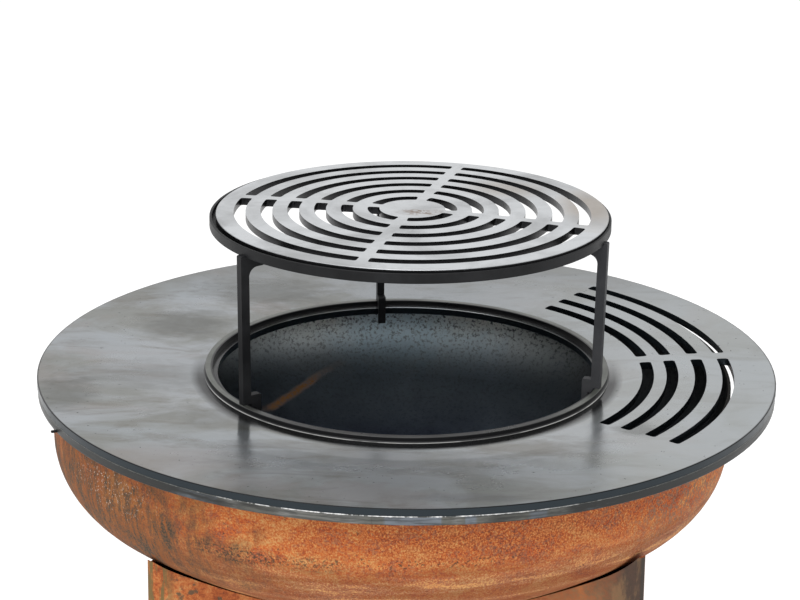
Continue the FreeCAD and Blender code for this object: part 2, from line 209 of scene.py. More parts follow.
bowlRust = {
    "middle": (-0.0198, 0.0, 0.94),
    "deep": (0.165, 0.047, 0.021),
    "red": (0.46, 0.082, 0.022),
    "orange": (0.56, 0.170, 0.042),
    "tan": (0.62, 0.330, 0.120),
    "dust": (0.215, 0.135, 0.090),
    "olive": (0.040, 0.035, 0.025),
    "dull": (0.105, 0.072, 0.047),
    "flame": (0.222, 0.080, 0.025),
    "smooth": (0.25, 0.115, 0.070),
    "black": (0.050, 0.040, 0.028),
    "pale": (0.66, 0.56, 0.46),
    "scorched": (0.010, 0.009, 0.008),
    "clouds": dict(scale=13, detail=8, rough=0.72, twist=0.6, place=(0.31, 1.7, 0.4), stretch=(1, 1, 1.7)),
    "grain": dict(scale=410, detail=3, rough=0.75),
    "wobble": dict(scale=26, detail=5, rough=0.62, place=(3, 7, 1)),
    "grit": dict(scale=300, detail=3, rough=0.65, place=(5, 1, 2)),
    "dusty": dict(scale=210, detail=4, rough=0.75, place=(9, 2, 6)),
    "patches": dict(scale=4.5, detail=4, rough=0.6, place=(1.1, 4.3, 2.2), stretch=(1, 1, 1.4)),
    "bands": dict(around=3, level=60, detail=5, rough=0.6, twist=0.4),
    "runs": dict(around=24, level=16, detail=8, rough=0.74, twist=1.6),
    "cloudShare": 0.55,
    "rustStops": ((0.385, "deep"), (0.450, "red"), (0.515, "orange"), (0.590, "tan")),
    "redStops": ((0.42, "deep"), (0.49, "red"), (0.57, "orange"), (0.65, "tan")),
    "lowStops": ((0.42, "deep"), (0.47, "flame"), (0.53, "smooth"), (0.60, "tan")),
    "oliveStops": ((0.40, "olive"), (0.47, "dull"), (0.53, "flame")),
    "redAt": dict(middle=(0.14, -0.40, 0.900), reach=(0.32, 0.22, 0.048), share=0.75),
    "dustAt": dict(middle=(0.42, -0.20, 0.88), reach=(0.20, 0.32, 0.15), share=0.92),
    "oliveAt": dict(middle=(-0.40, -0.24, 0.83), reach=(0.25, 0.30, 0.13)),
    "pittedAt": dict(middle=(-0.19, -0.42, 0.852), reach=(0.115, 0.12, 0.014)),
    "dottedAt": dict(middle=(0.02, -0.45, 0.858), reach=(0.20, 0.10, 0.008)),
    "paleAt": dict(middle=(-0.375, -0.28, 0.884), reach=(0.085, 0.10, 0.034), share=0.8),
    "dustGrain": (0.47, 0.56),
    "dustElsewhere": (0.46, 0.52, 0.45, 0.10),
    "lowRange": (0.892, 0.850, 0.0, 0.72),
    "lowWander": 0.05,
    "lowShare": 0.6,
    "oliveElsewhere": (0.57, 0.68, 0.0, 0.55),
    "oliveRuns": (0.55, 0.50, 0.30, 1.0),
    "oliveShare": 0.5,
    "dimming": 0.75,
    "pittedGrit": (0.50, 0.56),
    "dottedGrit": (0.57, 0.62),
    "strayClouds": (0.58, 0.66),
    "strayGrit": (0.58, 0.63),
    "paleGrit": (0.39, 0.35),
    "darkShare": 0.85,
    "hardenedLevel": 0.9305,            # the rim above it was scorched black
    "hardenedSoft": 0.002,
    "rough": 0.85,
    "shine": 0.22,
    "grainHeight": 0.6,
    "bump": dict(depth=0.0010, strength=0.30),
}
bowlInside = {
    "bright": (0.88, 0.86, 0.76),
    "high": (0.80, 0.86, 0.86),
    "middle": (0.42, 0.50, 0.58),
    "low": (0.060, 0.075, 0.120),
    "haze": (0.60, 0.80, 0.92),
    # near black: the colour of the soot flecks and of the painted shade at the sides
    "sootAndShade": (0.02, 0.021, 0.024),
    "rust": (0.52, 0.25, 0.09),
    "facing": (-0.004, -0.012),         # metres times the part of the normal that points outwards
    "clouds": dict(scale=9, detail=6, rough=0.66, twist=0.4),
    "flecks": dict(scale=210, detail=4, rough=0.75),
    "levelWander": 0.05,
    "levels": (0.745, 0.945),
    "steelStops": ((0.0, "low"), (0.33, "middle"), (0.60, "high"), (0.80, "bright")),
    "hazeAt": dict(middle=(0.0, 0.42, 0.835), reach=(0.13, 0.10, 0.045), share=0.6),
    "fleckLevels": (0.80, 0.87, 0.25, 0.95),
    "fleckRange": (0.49, 0.39),
    "shadeAside": (0.15, 0.30, 0.0, 0.93),
    "rustAt": dict(middle=(-0.158, 0.372, 0.775), reach=(0.085, 0.070, 0.055)),
    "rustAcross": (0.656, -0.520, -0.545),
    "rustWidth": 0.0085,
    "rustCore": 0.3,
    "rustWander": 0.02,
    "rustFlecks": (0.38, 0.52, 0.4, 1.0),
    "metal": 0.85,
    "rough": 0.48,
}


def rustRamp(tree, look, clouds, grain):
    return ramp(tree, mixed(tree, clouds, grain, look["cloudShare"]), look, "rustStops")


def bowlRustColour(tree, where, look):
    clouds = pattern(tree, where, **look["clouds"])
    grain = pattern(tree, where, **look["grain"])
    wobble = pattern(tree, where, **look["wobble"])
    grit = pattern(tree, where, **look["grit"])
    colour = rustRamp(tree, look, clouds, grain)
    redMask = patch(tree, where, look["redAt"], wobble)
    colour = blend(tree, redMask, colour, ramp(tree, grain, look, "redStops"))

    dustGrain = spread(tree, pattern(tree, where, **look["dusty"]), *look["dustGrain"])
    dustElsewhere = spread(tree, clouds, *look["dustElsewhere"])
    dustShare = calc(tree, "MAXIMUM", patch(tree, where, look["dustAt"], wobble), dustElsewhere)
    colour = blend(tree, calc(tree, "MULTIPLY", dustGrain, dustShare), colour, look["dust"])

    level = axes(tree, where)["Z"]      # the low part is smoother and lies in level bands
    bands = bandPattern(tree, where, look["middle"], **look["bands"])
    lowMask = spread(tree, calc(tree, "MULTIPLY_ADD", bands, look["lowWander"], level), *look["lowRange"])
    lowColour = ramp(tree, mixed(tree, bands, grain, look["lowShare"]), look, "lowStops")
    colour = blend(tree, lowMask, colour, lowColour)

    runs = bandPattern(tree, where, look["middle"], **look["runs"])     # dark runs down the left side
    oliveElsewhere = spread(tree, pattern(tree, where, **look["patches"]), *look["oliveElsewhere"])
    oliveShare = calc(tree, "MAXIMUM", patch(tree, where, look["oliveAt"], wobble), oliveElsewhere)
    oliveMask = calc(tree, "MULTIPLY", oliveShare, spread(tree, runs, *look["oliveRuns"]))
    dimmed = blend(tree, oliveShare, colour, look["flame"])
    colour = blend(tree, look["dimming"], colour, dimmed)
    oliveGrain = ramp(tree, mixed(tree, runs, grain, look["oliveShare"]), look, "oliveStops")
    colour = blend(tree, oliveMask, colour, oliveGrain)

    pits = spread(tree, grit, *look["pittedGrit"])
    dots = spread(tree, grit, *look["dottedGrit"])
    pitted = calc(tree, "MULTIPLY", patch(tree, where, look["pittedAt"], wobble), pits)
    dotted = calc(tree, "MULTIPLY", patch(tree, where, look["dottedAt"], wobble), dots)
    strayGrit = spread(tree, grit, *look["strayGrit"])
    stray = calc(tree, "MULTIPLY", spread(tree, wobble, *look["strayClouds"]), strayGrit)
    darkMask = calc(tree, "MAXIMUM", calc(tree, "MAXIMUM", pitted, dotted), stray)
    colour = blend(tree, calc(tree, "MULTIPLY", darkMask, look["darkShare"]), colour, look["black"])
    paleGrit = spread(tree, grit, *look["paleGrit"])
    paleMask = calc(tree, "MULTIPLY", patch(tree, where, look["paleAt"], wobble), paleGrit)
    colour = blend(tree, paleMask, colour, look["pale"])

    soft = look["hardenedSoft"]
    hardened = spread(tree, level, look["hardenedLevel"] - soft, look["hardenedLevel"] + soft)
    colour = blend(tree, hardened, colour, look["scorched"])
    return colour, calc(tree, "MULTIPLY_ADD", grain, look["grainHeight"], grit)


def bowlInsideColour(tree, where, fromMiddle, look):
    clouds = pattern(tree, where, **look["clouds"])
    flecks = pattern(tree, where, **look["flecks"])
    level = axes(tree, where)["Z"]
    uneven = calc(tree, "MULTIPLY_ADD", clouds, look["levelWander"], level)
    steel = ramp(tree, spread(tree, uneven, *look["levels"]), look, "steelStops")
    steel = blend(tree, patch(tree, where, look["hazeAt"], clouds), steel, look["haze"])
    fleckShare = spread(tree, level, *look["fleckLevels"])
    fleckMask = calc(tree, "MULTIPLY", spread(tree, flecks, *look["fleckRange"]), fleckShare)
    steel = blend(tree, fleckMask, steel, look["sootAndShade"])
    # the inside darkens towards both sides, where the plate covers it: painted shade
    aside = calc(tree, "ABSOLUTE", axes(tree, fromMiddle)["X"])
    steel = blend(tree, spread(tree, aside, *look["shadeAside"]), steel, look["sootAndShade"])

    # one slanting streak of rust: a patch kept only near a middle line that wanders by the noise,
    # which swings about 0.5
    fromRust = vectorCalc(tree, "SUBTRACT", where, look["rustAt"]["middle"])
    across = vectorCalc(tree, "DOT_PRODUCT", fromRust, look["rustAcross"])
    wandering = calc(tree, "MULTIPLY_ADD", calc(tree, "SUBTRACT", clouds, 0.5), look["rustWander"], across)
    width = look["rustWidth"]
    streak = spread(tree, calc(tree, "ABSOLUTE", wandering), width, width * look["rustCore"])
    rustMask = calc(tree, "MULTIPLY", patch(tree, where, look["rustAt"], clouds), streak)
    rustFlecks = calc(tree, "MULTIPLY", rustMask, spread(tree, flecks, *look["rustFlecks"]))
    return blend(tree, rustFlecks, steel, look["rust"]), rustMask


def bowlSteel(name, look, inside):
    material, shader, tree, coords = startMaterial(name)
    where = coords["Object"]
    fromMiddle = vectorCalc(tree, "SUBTRACT", where, look["middle"])
    facing = vectorCalc(tree, "DOT_PRODUCT", fromMiddle, coords["Normal"])
    innerSide = spread(tree, facing, *inside["facing"])
    outer, height = bowlRustColour(tree, where, look)
    steel, rustMask = bowlInsideColour(tree, where, fromMiddle, inside)
    colour = blend(tree, innerSide, outer, steel)
    roughness = spread(tree, innerSide, 0.0, 1.0, look["rough"], inside["rough"])
    metal = calc(tree, "MULTIPLY", innerSide, calc(tree, "SUBTRACT", inside["metal"], rustMask))
    tree.links.new(metal, shader.inputs["Metallic"])
    shader.inputs["Specular IOR Level"].default_value = look["shine"]
    finishShader(tree, shader, colour, roughness, height, look["bump"])
    return material


# rusted sheets of the pedestal: bright at the left of the front, dark at its right end

panelRust = {
    "deep": (0.165, 0.048, 0.020),
    "red": (0.36, 0.086, 0.026),
    "orange": (0.50, 0.160, 0.048),
    "tan": (0.52, 0.270, 0.105),
    "blot": (0.085, 0.072, 0.046),
    "stripe": (0.165, 0.125, 0.050),
    "brown": (0.37, 0.130, 0.050),
    "olive": (0.20, 0.125, 0.068),
    "dark": (0.050, 0.045, 0.040),
    "clouds": dict(scale=9, detail=7, rough=0.68, twist=0.5, place=(2.3, 0.2, 1.1), stretch=(1.5, 1.5, 0.8)),
    "grain": dict(scale=300, detail=3, rough=0.75),
    "wobble": dict(scale=30, detail=5, rough=0.6, place=(1, 3, 6)),
    "blots": dict(scale=62, detail=4, rough=0.6, twist=0.3, place=(4, 2, 1.5)),
    "stripes": dict(scale=150, detail=4, rough=0.6, stretch=(1, 1, 0.09)),
    "patches": dict(scale=4.5, detail=4, rough=0.62, place=(8, 3, 0.7), stretch=(1, 1, 0.6)),
    "cloudShare": 0.62,
    "rustStops": ((0.385, "deep"), (0.450, "red"), (0.515, "orange"), (0.590, "tan")),
    "frontTo": -0.2941,                 # the front's own marks reach back to this place
    "frontSoft": 0.0003,
    "frontFacing": (-0.15, -0.35),
    "blotAt": dict(middle=(-0.24, -0.32, 0.755), reach=(0.10, 0.30, 0.045)),
    "blotElsewhere": 0.30,
    "blotRange": (0.56, 0.62),
    "blotShare": 0.85,
    "stripeZone": (-0.290, -0.308),
    "stripeRange": (0.49, 0.55, 0.0, 0.9),
    "acrossWander": 0.05,
    "brownZone": (0.13, 0.26, 0.0, 0.85),
    "brownElsewhere": (0.49, 0.60, 0.0, 0.6),
    "brownGrain": (0.38, 0.62),
    "hotRange": (0.50, 0.58, 0.0, 0.8),
    "oliveZone": (0.255, 0.305, 0.0, 0.9),
    "oliveClouds": (0.44, 0.54),
    # thin dark line at the very right end of the front, in the fold: painted shade
    "foldShadeZone": (0.3020, 0.3040, 0.0, 0.85),
    "rough": (0.3, 0.7, 0.72, 0.95),
    "shine": 0.25,
    "grainHeight": 0.6,
    "bump": dict(depth=0.0010, strength=0.28),
}
hiddenRust = {**panelRust, "frontTo": -5.0}     # so far in front that these sheets get none of its marks


def panelSteel(name, look):
    material, shader, tree, coords = startMaterial(name)
    where = coords["Object"]
    place = axes(tree, where)
    soft = look["frontSoft"]
    onFront = spread(tree, place["Y"], look["frontTo"] + soft, look["frontTo"] - soft)
    facingFront = spread(tree, axes(tree, coords["Normal"])["Y"], *look["frontFacing"])
    sideways = calc(tree, "MULTIPLY", place["X"], calc(tree, "MULTIPLY", onFront, facingFront))
    clouds = pattern(tree, where, **look["clouds"])
    grain = pattern(tree, where, **look["grain"])
    wobble = pattern(tree, where, **look["wobble"])
    blots = pattern(tree, where, **look["blots"])
    colour = rustRamp(tree, look, clouds, grain)
    blotPlaces = calc(tree, "MAXIMUM", patch(tree, where, look["blotAt"], wobble), look["blotElsewhere"])
    blotMask = calc(tree, "MULTIPLY", blotPlaces, spread(tree, blots, *look["blotRange"]))
    colour = blend(tree, calc(tree, "MULTIPLY", blotMask, look["blotShare"]), colour, look["blot"])

    stripes = spread(tree, pattern(tree, where, **look["stripes"]), *look["stripeRange"])
    stripeMask = calc(tree, "MULTIPLY", spread(tree, sideways, *look["stripeZone"]), stripes)
    colour = blend(tree, stripeMask, colour, look["stripe"])

    across = calc(tree, "MULTIPLY_ADD", wobble, look["acrossWander"], sideways)
    offFront = spread(tree, onFront, 0.0, 1.0, 1.0, 0.0)
    brownPatches = spread(tree, pattern(tree, where, **look["patches"]), *look["brownElsewhere"])
    brownElsewhere = calc(tree, "MULTIPLY", brownPatches, offFront)
    brownMask = calc(tree, "MAXIMUM", spread(tree, across, *look["brownZone"]), brownElsewhere)
    brownColour = blend(tree, spread(tree, grain, *look["brownGrain"]), look["brown"], look["olive"])
    colour = blend(tree, brownMask, colour, brownColour)
    hotSpot = calc(tree, "MULTIPLY", brownMask, spread(tree, clouds, *look["hotRange"]))
    colour = blend(tree, hotSpot, colour, look["orange"])
    oliveColour = blend(tree, spread(tree, clouds, *look["oliveClouds"]), look["olive"], look["dark"])
    colour = blend(tree, spread(tree, across, *look["oliveZone"]), colour, oliveColour)
    # thin dark line at the very right end of the front, in the fold: painted shade
    colour = blend(tree, spread(tree, sideways, *look["foldShadeZone"]), colour, look["dark"])

    shader.inputs["Specular IOR Level"].default_value = look["shine"]
    height = calc(tree, "MULTIPLY_ADD", grain, look["grainHeight"], blots)
    finishShader(tree, shader, colour, spread(tree, grain, *look["rough"]), height, look["bump"])
    return material


# bare steel of the cooking plate and its skirt

plateLook = {
    "pale": (0.365, 0.385, 0.405),
    "dull": (0.235, 0.240, 0.225),
    "bluish": (0.37, 0.405, 0.44),
    "smudge": (0.14, 0.120, 0.092),
    "pinkish": (0.28, 0.235, 0.215),
    "shade": (0.13, 0.135, 0.14),
    "smoke": (0.100, 0.102, 0.092),
    "paintedLightPale": (0.47, 0.495, 0.50),
    "speck": (0.05, 0.05, 0.05),
    # near black: the burnt ledge, and the painted shadow and reflection of the collar
    "burntAndShade": (0.014, 0.014, 0.015),
    "side": (0.026, 0.034, 0.040),
    "edge": (0.008, 0.009, 0.010),
    "wide": dict(scale=5.2, detail=6, rough=0.60, twist=0.6, place=(2, 5, 0), stretch=(1, 1.2, 1)),
    "tint": dict(scale=4.2, detail=4, rough=0.6, twist=0.5, place=(6, 2, 0), stretch=(1, 1.5, 1)),
    "rubbed": dict(scale=7, detail=6, rough=0.65, twist=0.8, place=(0, 3, 0), stretch=(1, 3.2, 1)),
    "wobble": dict(scale=22, detail=5, rough=0.62, twist=0.4, place=(7, 1, 0), stretch=(1, 2, 1)),
    "fine": dict(scale=60, detail=5, rough=0.7),
    "specks": dict(scale=190, detail=2, rough=0.5),
    "dullRange": (0.43, 0.55),
    "bluishRange": (0.52, 0.62, 0.0, 0.6),
    "pinkishRange": (0.44, 0.36, 0.0, 0.35),
    "smudgeRange": (0.52, 0.66, 0.0, 0.50),
    # paler towards the right: painted light
    "paintedLightRight": (0.0, 0.32, 0.0, 0.55),
    "shadeRear": (0.24, 0.40, 0.0, 0.42),
    "stainsAndShade": (     # colour, noise of its border, spot; laid on in this order
        # the shade entries are painted shade; the smudge, pinkish and smoke entries are marks on the steel
        ("shade", "wobble", dict(middle=(-0.075, -0.415, 0.95), reach=(0.20, 0.085, 0.5), share=0.16)),
        ("shade", "wobble", dict(middle=(-0.06, -0.33, 0.95), reach=(0.22, 0.06, 0.5), share=0.42)),
        ("smudge", "wobble", dict(middle=(0.150, -0.292, 0.949), reach=(0.085, 0.034, 0.5), share=0.60)),
        ("shade", "wobble", dict(middle=(0.085, -0.462, 0.95), reach=(0.075, 0.014, 0.5), share=0.40)),
        ("pinkish", "rubbed", dict(middle=(-0.300, -0.350, 0.95), reach=(0.10, 0.06, 0.5), share=0.45)),
        ("smoke", "wobble", dict(middle=(-0.316, 0.165, 0.95), reach=(0.068, 0.060, 0.5), share=0.80)),
        ("smoke", "wobble", dict(middle=(-0.350, -0.050, 0.95), reach=(0.115, 0.060, 0.5), share=0.42)),
        ("smoke", "wobble", dict(middle=(-0.452, -0.120, 0.95), reach=(0.045, 0.070, 0.5), share=0.62)),
        ("smoke", "wobble", dict(middle=(-0.205, 0.310, 0.95), reach=(0.100, 0.065, 0.5), share=0.75)),
        ("smoke", "wobble", dict(middle=(-0.245, -0.200, 0.95), reach=(0.080, 0.050, 0.5), share=0.45)),
        ("smoke", "wobble", dict(middle=(0.300, -0.228, 0.95), reach=(0.034, 0.028, 0.5), share=0.60)),
    ),
    "speckRange": (0.725, 0.745),
    "fineRange": (0.3, 0.7, 0.0, 0.16),
    "collarRadius": 0.2745,
    "ringWidth": (0.0, -0.20, 0.010, 0.019),    # painted shadow and reflection of the collar: a dark ring outside it, wider at the front
    "ringShare": (0.05, -0.05, 0.0, 0.94),
    "ringEdge": (0.009, -0.003),
    "ledgeEdge": (0.2665, 0.2655),              # the plate's ledge inside the collar
    "ledgeShare": (0.12, 0.22, 0.92, 0.15),
    "rimEdge": (0.4975, 0.4990),
    "upright": (0.45, 0.25),
    "rough": (0.6, 1.0, 0.12, 0.26),
    "roughOutwards": (0.34, 0.46, 0.0, 0.16),
    "rubbedRough": 0.6,
    "metal": 0.8,
    "fineHeight": 0.3,
    "bump": dict(depth=0.0005, strength=0.10),
}
skirtLook = {
    "grey": (0.125, 0.125, 0.112),
    "blue": (0.160, 0.180, 0.205),
    "pale": (0.20, 0.20, 0.19),
    "dark": (0.030, 0.031, 0.030),
    "middle": (0.0, 0.0),
    # bands of grey, blue and pale around the skirt: painted reflections
    "reflectionBands": dict(around=3.4, level=0, detail=0, rough=0.5),
    "streaks": dict(around=9, level=420, detail=4, rough=0.62),
    "smears": dict(around=12, level=160, detail=4, rough=0.62),
    "reflectionStops": (
        (0.40, "grey"), (0.415, "blue"), (0.47, "blue"), (0.475, "grey"),
        (0.53, "pale"), (0.56, "grey"), (0.60, "grey"), (0.605, "blue"),
    ),
    "paintedShineAt": dict(middle=(-0.035, -0.50, 0.934), reach=(0.235, 0.30, 0.30)),
    "streakRange": (0.46, 0.60, 0.0, 0.6),
    "smearRange": (0.50, 0.64, 0.0, 0.45),
    "rough": (0.3, 0.7, 0.32, 0.5),
    "metal": 0.6,
    "bump": dict(depth=0.0005, strength=0.15),
}


def plateSteel(name, look):
    material, shader, tree, coords = startMaterial(name)
    where = coords["Object"]
    wide = pattern(tree, where, **look["wide"])
    tint = pattern(tree, where, **look["tint"])
    fine = pattern(tree, where, **look["fine"])
    borders = {border: pattern(tree, where, **look[border]) for border in ("rubbed", "wobble")}
    colour = blend(tree, spread(tree, wide, *look["dullRange"]), look["dull"], look["pale"])
    colour = blend(tree, spread(tree, tint, *look["bluishRange"]), colour, look["bluish"])
    colour = blend(tree, spread(tree, tint, *look["pinkishRange"]), colour, look["pinkish"])
    colour = blend(tree, spread(tree, borders["rubbed"], *look["smudgeRange"]), colour, look["smudge"])
    place = axes(tree, where)
    # paler towards the right: painted light
    colour = blend(tree, spread(tree, place["X"], *look["paintedLightRight"]), colour, look["paintedLightPale"])
    colour = blend(tree, spread(tree, place["Y"], *look["shadeRear"]), colour, look["shade"])
    for colourName, border, spot in look["stainsAndShade"]:
        colour = blend(tree, patch(tree, where, spot, borders[border]), colour, look[colourName])
    specks = pattern(tree, where, **look["specks"])
    colour = blend(tree, spread(tree, specks, *look["speckRange"]), colour, look["speck"])
    colour = blend(tree, spread(tree, fine, *look["fineRange"]), colour, look["pale"])

    radius = radiusFromAxis(tree, place)
    # dark ring just outside the collar on the front half: painted shadow and reflection of the collar
    ringWidth = spread(tree, place["Y"], *look["ringWidth"])
    pastRing = calc(tree, "SUBTRACT", calc(tree, "SUBTRACT", radius, look["collarRadius"]), ringWidth)
    ringShare = spread(tree, place["Y"], *look["ringShare"])
    collarShadeMask = calc(tree, "MULTIPLY", spread(tree, pastRing, *look["ringEdge"]), ringShare)
    colour = blend(tree, collarShadeMask, colour, look["burntAndShade"])
    ledgeShare = spread(tree, place["Y"], *look["ledgeShare"])
    ledgeMask = calc(tree, "MULTIPLY", spread(tree, radius, *look["ledgeEdge"]), ledgeShare)
    colour = blend(tree, ledgeMask, colour, look["burntAndShade"])
    colour = blend(tree, spread(tree, radius, *look["rimEdge"]), colour, look["edge"])
    facingUp = axes(tree, coords["Normal"])["Z"]
    colour = blend(tree, spread(tree, facingUp, *look["upright"]), colour, look["side"])

    rubbedWide = calc(tree, "MULTIPLY_ADD", borders["rubbed"], look["rubbedRough"], wide)
    roughOutwards = spread(tree, radius, *look["roughOutwards"])
    roughness = calc(tree, "ADD", spread(tree, rubbedWide, *look["rough"]), roughOutwards)
    shader.inputs["Metallic"].default_value = look["metal"]
    height = calc(tree, "MULTIPLY_ADD", fine, look["fineHeight"], borders["rubbed"])
    finishShader(tree, shader, colour, roughness, height, look["bump"])
    return material


def skirtSteel(name, look):
    material, shader, tree, coords = startMaterial(name)
    where = coords["Object"]
    # bands of grey, blue and pale, kept to a patch at the front, are painted reflections; elsewhere the
    # skirt is dark
    reflectionBands = bandPattern(tree, where, look["middle"], **look["reflectionBands"])
    streaks = bandPattern(tree, where, look["middle"], **look["streaks"])
    smears = bandPattern(tree, where, look["middle"], **look["smears"])
    paintedShine = patch(tree, where, look["paintedShineAt"], smears)
    colour = blend(tree, paintedShine, look["dark"], ramp(tree, reflectionBands, look, "reflectionStops"))
    colour = blend(tree, spread(tree, streaks, *look["streakRange"]), colour, look["dark"])
    colour = blend(tree, spread(tree, smears, *look["smearRange"]), colour, look["dark"])
    shader.inputs["Metallic"].default_value = look["metal"]
    finishShader(tree, shader, colour, spread(tree, streaks, *look["rough"]), streaks, look["bump"])
    return material


# dark steel of the stand, the skirt's tab and the feet

standLook = {
    "black": (0.0045, 0.0047, 0.0055),
    "worn": (0.015, 0.0155, 0.017),
    "clouds": dict(scale=14, detail=6, rough=0.65),
    "fine": dict(scale=220, detail=3, rough=0.6),
    "wornRange": (0.45, 0.72),
    "rough": (0.3, 0.7, 0.40, 0.55),
    "shine": 0.22,
    "fineHeight": 0.5,
    "bump": dict(depth=0.0005, strength=0.2),
}
# the right leg gets a lighter copy of the stand's steel: painted light on that leg
litRightLegLook = {
    **standLook,
    "black": (0.046, 0.047, 0.051),
    "worn": (0.068, 0.069, 0.073),
    "rough": (0.3, 0.7, 0.45, 0.60),
    "shine": 0.10,
}
footLook = {
    **standLook,
    "black": (0.03, 0.028, 0.026),
    "worn": (0.10, 0.085, 0.07),
    "rough": (0.3, 0.7, 0.5, 0.75),
}


def darkSteel(name, look):
    material, shader, tree, coords = startMaterial(name)
    clouds = pattern(tree, coords["Object"], **look["clouds"])
    fine = pattern(tree, coords["Object"], **look["fine"])
    colour = blend(tree, spread(tree, clouds, *look["wornRange"]), look["black"], look["worn"])
    shader.inputs["Specular IOR Level"].default_value = look["shine"]
    height = calc(tree, "MULTIPLY_ADD", fine, look["fineHeight"], clouds)
    finishShader(tree, shader, colour, spread(tree, clouds, *look["rough"]), height, look["bump"])
    return material


# collar around the opening: pale on top at the sides and rear, dark walls, and a painted highlight along its
# outer edge in front

collarLook = {
    "side": (0.006, 0.006, 0.007),
    "sideFront": (0.013, 0.0135, 0.015),
    "top": (0.135, 0.142, 0.127),
    "topFront": (0.034, 0.034, 0.034),
    "bead": (0.42, 0.42, 0.41),
    "clouds": dict(scale=18, detail=5, rough=0.6),
    "topEdge": (0.9525, 0.9529),
    "burntEdge": (0.2668, 0.2662),      # the inner edge is burnt black
    "beadEdge": (0.2745, 0.2749),
    "beadFront": (-0.04, -0.12, 0.05, 1.0),
    "beadClouds": (0.4, 0.5, 0.4, 1.0),
    "frontFrom": (-0.13, -0.21),
    "sootRange": (0.4, 0.7, 0.0, 0.35),
    "rough": (0.3, 0.7, 0.26, 0.40),
    "metal": 0.4,
    "bump": dict(depth=0.0005, strength=0.15),
}


def collarSteel(name, look):
    material, shader, tree, coords = startMaterial(name)
    place = axes(tree, coords["Object"])
    clouds = pattern(tree, coords["Object"], **look["clouds"])
    radius = radiusFromAxis(tree, place)
    nearFront = spread(tree, place["Y"], *look["frontFrom"])
    sideColour = blend(tree, nearFront, look["side"], look["sideFront"])
    topColour = blend(tree, nearFront, look["top"], look["topFront"])
    colour = blend(tree, spread(tree, place["Z"], *look["topEdge"]), sideColour, topColour)
    colour = blend(tree, spread(tree, radius, *look["burntEdge"]), colour, sideColour)
    colour = blend(tree, spread(tree, clouds, *look["sootRange"]), colour, look["side"])
    # bright line along the outer edge, in front only: painted highlight
    beadFront = spread(tree, place["Y"], *look["beadFront"])
    beadMask = calc(tree, "MULTIPLY", spread(tree, radius, *look["beadEdge"]), beadFront)
    beadMask = calc(tree, "MULTIPLY", beadMask, spread(tree, clouds, *look["beadClouds"]))
    colour = blend(tree, beadMask, colour, look["bead"])
    shader.inputs["Metallic"].default_value = look["metal"]
    finishShader(tree, shader, colour, spread(tree, clouds, *look["rough"]), clouds, look["bump"])
    return material


# bright steel of the grate, darker on its sides, browned by heat in three places

grateLook = {
    "bright": (0.64, 0.66, 0.68),
    "dull": (0.42, 0.43, 0.44),
    "smudge": (0.20, 0.135, 0.095),
    "tinted": (0.36, 0.30, 0.24),
    "side": (0.022, 0.022, 0.024),
    "under": (0.62, 0.63, 0.64),
    "wide": dict(scale=9, detail=6, rough=0.65, twist=0.5),
    "squiggle": dict(scale=70, detail=4, rough=0.6, twist=1.6),
    "fine": dict(scale=180, detail=4, rough=0.65),
    "dullRange": (0.42, 0.66),
    "smudgeRange": (0.47, 0.54, 0.2, 0.9),
    "smudgeAt": dict(middle=(0.018, -0.015, 1.174), reach=(0.034, 0.016, 0.5)),
    "tintedAt": dict(middle=(0.245, 0.035, 1.17), reach=(0.045, 0.10, 0.5), share=0.7),
    "farTintedAt": dict(middle=(0.135, 0.115, 1.17), reach=(0.06, 0.05, 0.5), share=0.5),
    "upright": (0.8, 0.5),
    "downwards": (-0.5, -0.8),
    "rough": (0.4, 1.0, 0.24, 0.42),
    "fineRough": 0.4,
    "metal": 0.8,
    "fineHeight": 0.6,
    "bump": dict(depth=0.0006, strength=0.12),
}


def grateSteel(name, look):
    material, shader, tree, coords = startMaterial(name)
    where = coords["Object"]
    wide = pattern(tree, where, **look["wide"])
    squiggle = pattern(tree, where, **look["squiggle"])
    fine = pattern(tree, where, **look["fine"])
    colour = blend(tree, spread(tree, wide, *look["dullRange"]), look["bright"], look["dull"])
    smudges = spread(tree, squiggle, *look["smudgeRange"])
    smudgeMask = calc(tree, "MULTIPLY", patch(tree, where, look["smudgeAt"], wide), smudges)
    colour = blend(tree, smudgeMask, colour, look["smudge"])
    farTint = patch(tree, where, look["farTintedAt"], wide)
    tintMask = calc(tree, "MAXIMUM", patch(tree, where, look["tintedAt"], wide), farTint)
    colour = blend(tree, tintMask, colour, look["tinted"])
    facingUp = axes(tree, coords["Normal"])["Z"]
    colour = blend(tree, spread(tree, facingUp, *look["upright"]), colour, look["side"])
    colour = blend(tree, spread(tree, facingUp, *look["downwards"]), colour, look["under"])
    shader.inputs["Metallic"].default_value = look["metal"]
    roughness = spread(tree, calc(tree, "MULTIPLY_ADD", fine, look["fineRough"], wide), *look["rough"])
    height = calc(tree, "MULTIPLY_ADD", fine, look["fineHeight"], wide)
    finishShader(tree, shader, colour, roughness, height, look["bump"])
    return material


wear("bowl", bowlSteel("bowlSteel", bowlRust, bowlInside))
panelMaterial = panelSteel("panelRust", panelRust)
hiddenMaterial = panelSteel("hiddenRust", hiddenRust)
footMaterial = darkSteel("footSteel", footLook)
standMaterial = darkSteel("standSteel", standLook)
litRightLegMaterial = darkSteel("litRightLegSteel", litRightLegLook)
for node in nodes:
    if node.startswith("base_panel"):
        wear(node, panelMaterial)
    elif node.startswith(("base_strap", "base_floor")):
        wear(node, hiddenMaterial)
    elif node.startswith("base_foot"):
        wear(node, footMaterial)
    elif node.startswith("stand_"):
        wear(node, litRightLegMaterial if node.endswith("_right") else standMaterial)
wear("cooking_plate", plateSteel("plateSteel", plateLook))
wear("plate_skirt", skirtSteel("skirtSteel", skirtLook))
wear("skirt_tab", standMaterial)
wear("plate_collar", collarSteel("collarSteel", collarLook))
wear("grate", grateSteel("grateSteel", grateLook))
